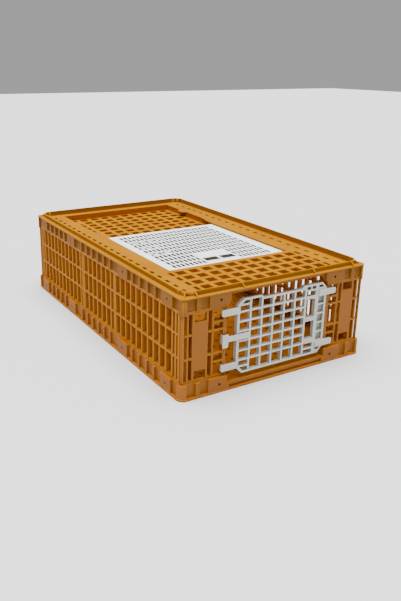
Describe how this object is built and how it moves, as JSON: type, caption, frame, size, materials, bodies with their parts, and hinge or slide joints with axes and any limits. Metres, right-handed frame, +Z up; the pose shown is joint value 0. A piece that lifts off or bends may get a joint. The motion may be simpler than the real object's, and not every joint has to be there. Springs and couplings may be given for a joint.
{
  "type": "poultry transport crate",
  "caption": "Low lattice crate for carrying live poultry, with a sliding hatch in its lid, a hinged lattice door in one end and a ridge for stacking.",
  "frame": {"origin": "centre of the crate's outline, on the surface it stands on", "axes": "+X to the right seen from the door end, +Y along the crate away from the door end, +Z up"},
  "size_m": [0.587, 0.977, 0.27],
  "materials": {
    "crate_plastic": "satin moulded polyethylene, ochre",
    "lid_plastic": "satin moulded polyethylene, ochre",
    "hatch_plastic": "satin moulded polyethylene, cool white",
    "door_plastic": "satin moulded polyethylene, off-white",
    "steel": "zinc plated"
  },
  "bodies": {
    "crate": {"base_tray": "crate_plastic", "lid": "lid_plastic", "left_wall": "crate_plastic", "right_wall": "crate_plastic", "front_wall": "crate_plastic", "back_wall": "crate_plastic", "front_lid_screws": "steel", "front_base_screws": "steel", "back_lid_screws": "steel", "back_base_screws": "steel", "left_lid_screws": "steel", "left_base_screws": "steel", "right_lid_screws": "steel", "right_base_screws": "steel"},
    "hatch": {"top_door": "hatch_plastic"},
    "end_door": {"end_door": "door_plastic", "latch_pin": "steel"},
    "latch": {"end_door_latch": "door_plastic"}
  },
  "joints": [
    {"name": "hatch_slide", "type": "slide", "parent": "crate", "child": "hatch", "axis": [0, 1, 0], "range_m": [0, 0.314]},
    {"name": "end_door_hinge", "type": "hinge", "parent": "crate", "child": "end_door", "pos_m": [0.164, -0.4742, 0.1325], "axis": [0, 0, 1], "range_deg": [0, 115]},
    {"name": "latch_flex", "type": "hinge", "parent": "end_door", "child": "latch", "pos_m": [-0.107, -0.4827, 0.135], "axis": [0, 0, 1], "range_deg": [0, 8], "stiffness_Nm_per_rad": 0.25}
  ]
}
